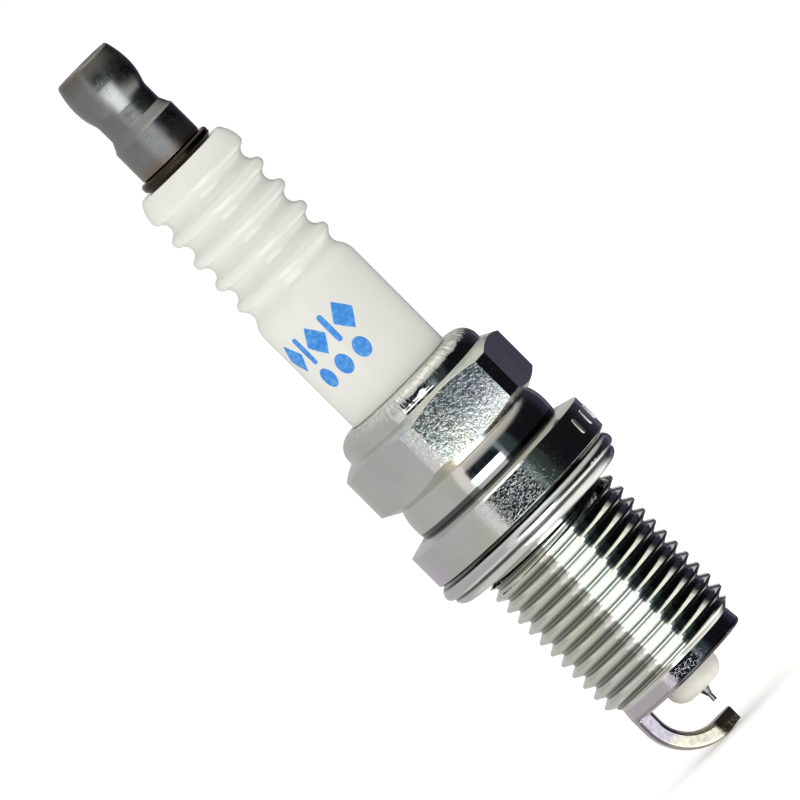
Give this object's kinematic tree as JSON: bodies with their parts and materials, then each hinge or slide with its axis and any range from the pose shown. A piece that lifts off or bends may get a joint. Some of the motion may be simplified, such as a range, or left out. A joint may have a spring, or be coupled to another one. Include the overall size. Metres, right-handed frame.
{
  "type": "spark plug",
  "caption": "Spark plug with a ribbed glazed insulator, hexagonal plated metal body, crush gasket, long threaded reach, fine centre tip and bent ground strap.",
  "frame": {"origin": "centre of the crush gasket's underside, the plane that seats on the cylinder head", "axes": "+Z along the plug's axis towards the terminal, -Z towards the firing end; the ground strap's foot is towards -X"},
  "size_m": [0.0189, 0.0188, 0.0756],
  "materials": {
    "terminal_steel": "dark plated steel, satin",
    "stud_steel": "dark plated steel, satin",
    "insulator_glaze": "gloss",
    "seal_glass": "conductive copper-filled glass, satin",
    "resistor_glass": "carbon-filled glass, matte",
    "electrode_nickel": "nickel alloy, satin",
    "core_copper": "copper, satin",
    "tip_iridium": "iridium alloy, polished",
    "shell_plating": "bright plating over forged steel, gloss",
    "wire_steel": "drawn steel wire, satin",
    "talc_powder": "pressed powder, matte",
    "packing_steel": "steel sheet, satin",
    "gasket_steel": "bright plated steel sheet, gloss",
    "strap_nickel": "nickel alloy, satin"
  },
  "bodies": {
    "plug": {"terminal_stud": "stud_steel", "insulator": "insulator_glaze", "upper_glass_seal": "seal_glass", "resistor": "resistor_glass", "lower_glass_seal": "seal_glass", "center_electrode": "electrode_nickel", "center_electrode_core": "core_copper", "iridium_tip": "tip_iridium", "shell": "shell_plating", "upper_wire_ring": "wire_steel", "talc_filling": "talc_powder", "lower_wire_ring": "wire_steel", "seat_packing": "packing_steel", "ground_electrode": "strap_nickel"},
    "terminal_nut": {"terminal_nut": "terminal_steel"},
    "gasket": {"gasket": "gasket_steel"}
  },
  "joints": [
    {"name": "terminal_nut_lift", "type": "slide", "parent": "plug", "child": "terminal_nut", "axis": [0, 0, 1], "range_m": [0, 0.0105]},
    {"name": "gasket_spin", "type": "hinge", "parent": "plug", "child": "gasket", "pos_m": [-0.00025, 0, 0], "axis": [0, 0, 1], "continuous": true}
  ]
}
